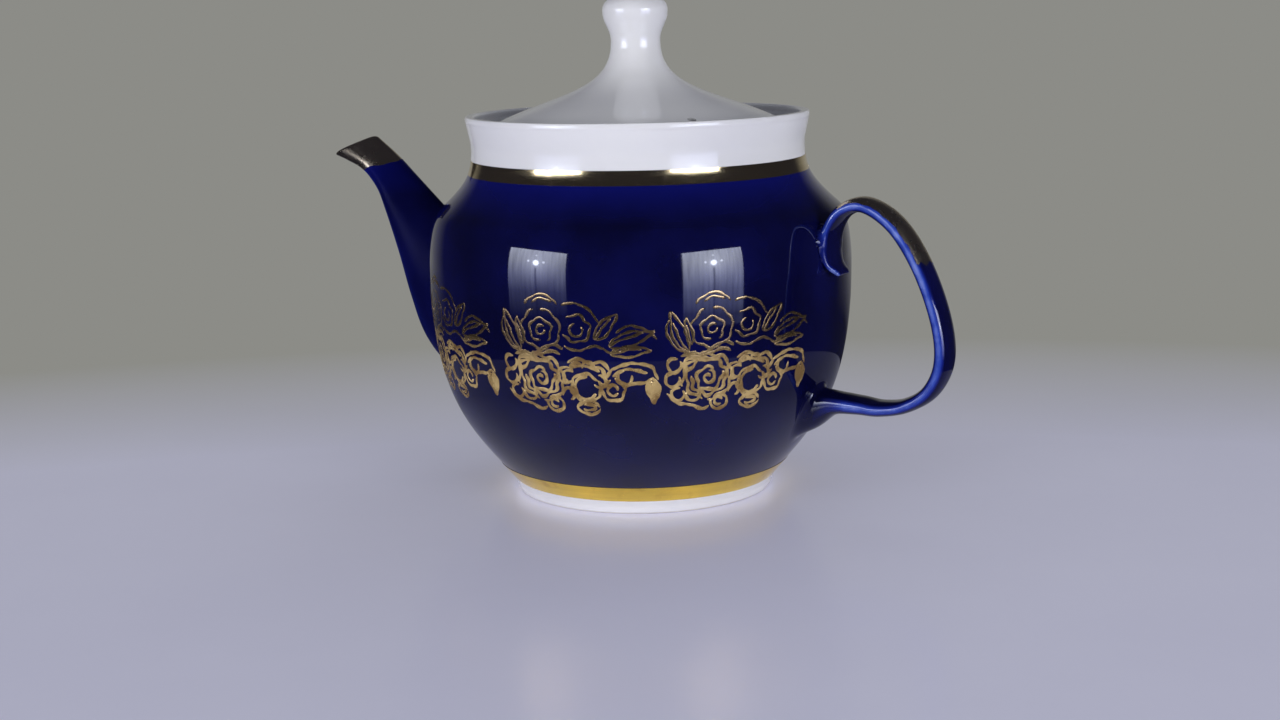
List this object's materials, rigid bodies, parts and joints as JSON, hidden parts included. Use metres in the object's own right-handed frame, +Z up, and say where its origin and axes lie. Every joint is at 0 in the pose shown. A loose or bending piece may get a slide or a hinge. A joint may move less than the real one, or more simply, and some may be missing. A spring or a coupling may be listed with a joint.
{
  "type": "teapot",
  "caption": "Porcelain teapot with a round collared body, a beaked spout, a scrolled strap handle and a recessed lid with a tall knob.",
  "frame": {"origin": "centre of the foot ring, on the table; the recessed underside of the base is 1.2 mm above it", "axes": "+Z up along the axis the vessel was turned on; +X towards the handle; the spout points along -X"},
  "size_m": [0.22, 0.13, 0.1518],
  "materials": {
    "cobalt_glaze": "gloss",
    "white_glaze": "gloss",
    "gilding": "polished"
  },
  "bodies": {
    "pot": {"vessel": "cobalt_glaze", "spout": "cobalt_glaze", "handle": "cobalt_glaze"},
    "lid": {"lid": "white_glaze", "lid_knob": "white_glaze"}
  },
  "joints": [
    {"name": "lid_lift", "type": "slide", "parent": "pot", "child": "lid", "axis": [0, 0, 1], "range_m": [0, 0.07]}
  ]
}
